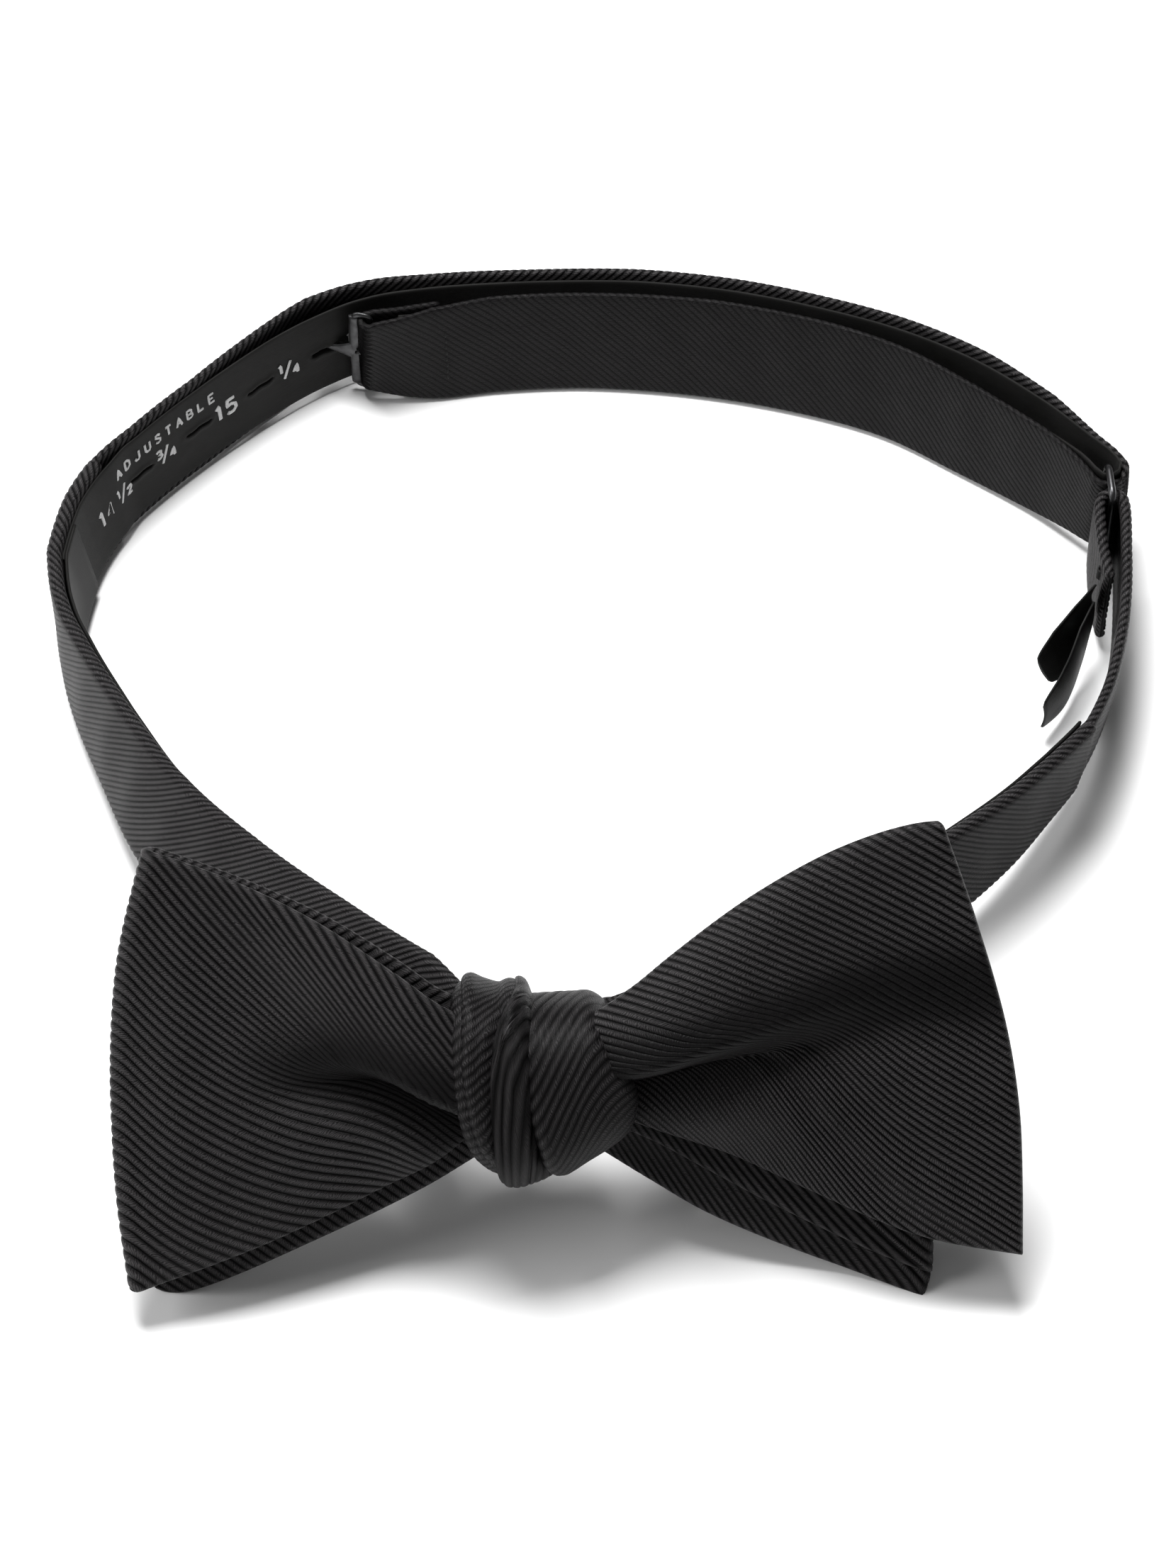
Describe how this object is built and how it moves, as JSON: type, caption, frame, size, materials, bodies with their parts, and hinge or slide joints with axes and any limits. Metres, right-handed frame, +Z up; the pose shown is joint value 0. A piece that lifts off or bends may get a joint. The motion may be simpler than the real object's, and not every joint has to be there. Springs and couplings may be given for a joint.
{
  "type": "bow tie",
  "caption": "Tied bow tie of ribbed silk on an adjustable neckband, which doubles back through a ring to a T hook in a marked size slot.",
  "frame": {"origin": "under the middle of the whole tie, on the surface that it stands on", "axes": "+Z up, +Y from the bow to the back of the neck, +X to the right of the bow seen from its front"},
  "size_m": [0.1502, 0.1572, 0.055],
  "materials": {
    "ribbed_silk": "black ribbed silk",
    "band_lining": "smooth black lining",
    "satin_ribbon": "black satin ribbon",
    "satin_label": "black satin",
    "thread": "black thread",
    "ring_steel": "smooth wire",
    "hook_metal": "satin black"
  },
  "bodies": {
    "tie": {"front_left_loop": "ribbed_silk", "front_right_end": "ribbed_silk", "back_right_loop": "ribbed_silk", "back_left_end": "ribbed_silk", "knot_wrap": "ribbed_silk", "left_band": "ribbed_silk", "left_band_lining": "band_lining", "right_band": "ribbed_silk", "right_band_lining": "band_lining", "adjuster_strap": "ribbed_silk", "size_ribbon": "satin_ribbon", "keeper_strap": "ribbed_silk", "keeper_tack": "thread", "hem_tack": "thread"},
    "ring": {"strap_ring": "ring_steel"},
    "hook": {"t_hook": "hook_metal"},
    "care_label": {"care_label_front": "satin_label", "care_label_back": "satin_label"}
  },
  "joints": [
    {"name": "ring_swing", "type": "hinge", "parent": "tie", "child": "ring", "pos_m": [0.07268, 0.03793, 0.0098], "axis": [0, 0, 1], "range_deg": [-6, 6]},
    {"name": "hook_swing", "type": "hinge", "parent": "tie", "child": "hook", "pos_m": [-0.03122, 0.06953, 0.0096], "axis": [0, 0, 1], "range_deg": [-1.2, 1.2]},
    {"name": "label_swing", "type": "hinge", "parent": "tie", "child": "care_label", "pos_m": [0.06918, 0.02593, 0.0098], "axis": [0, 0, 1], "range_deg": [-60, 4]}
  ]
}
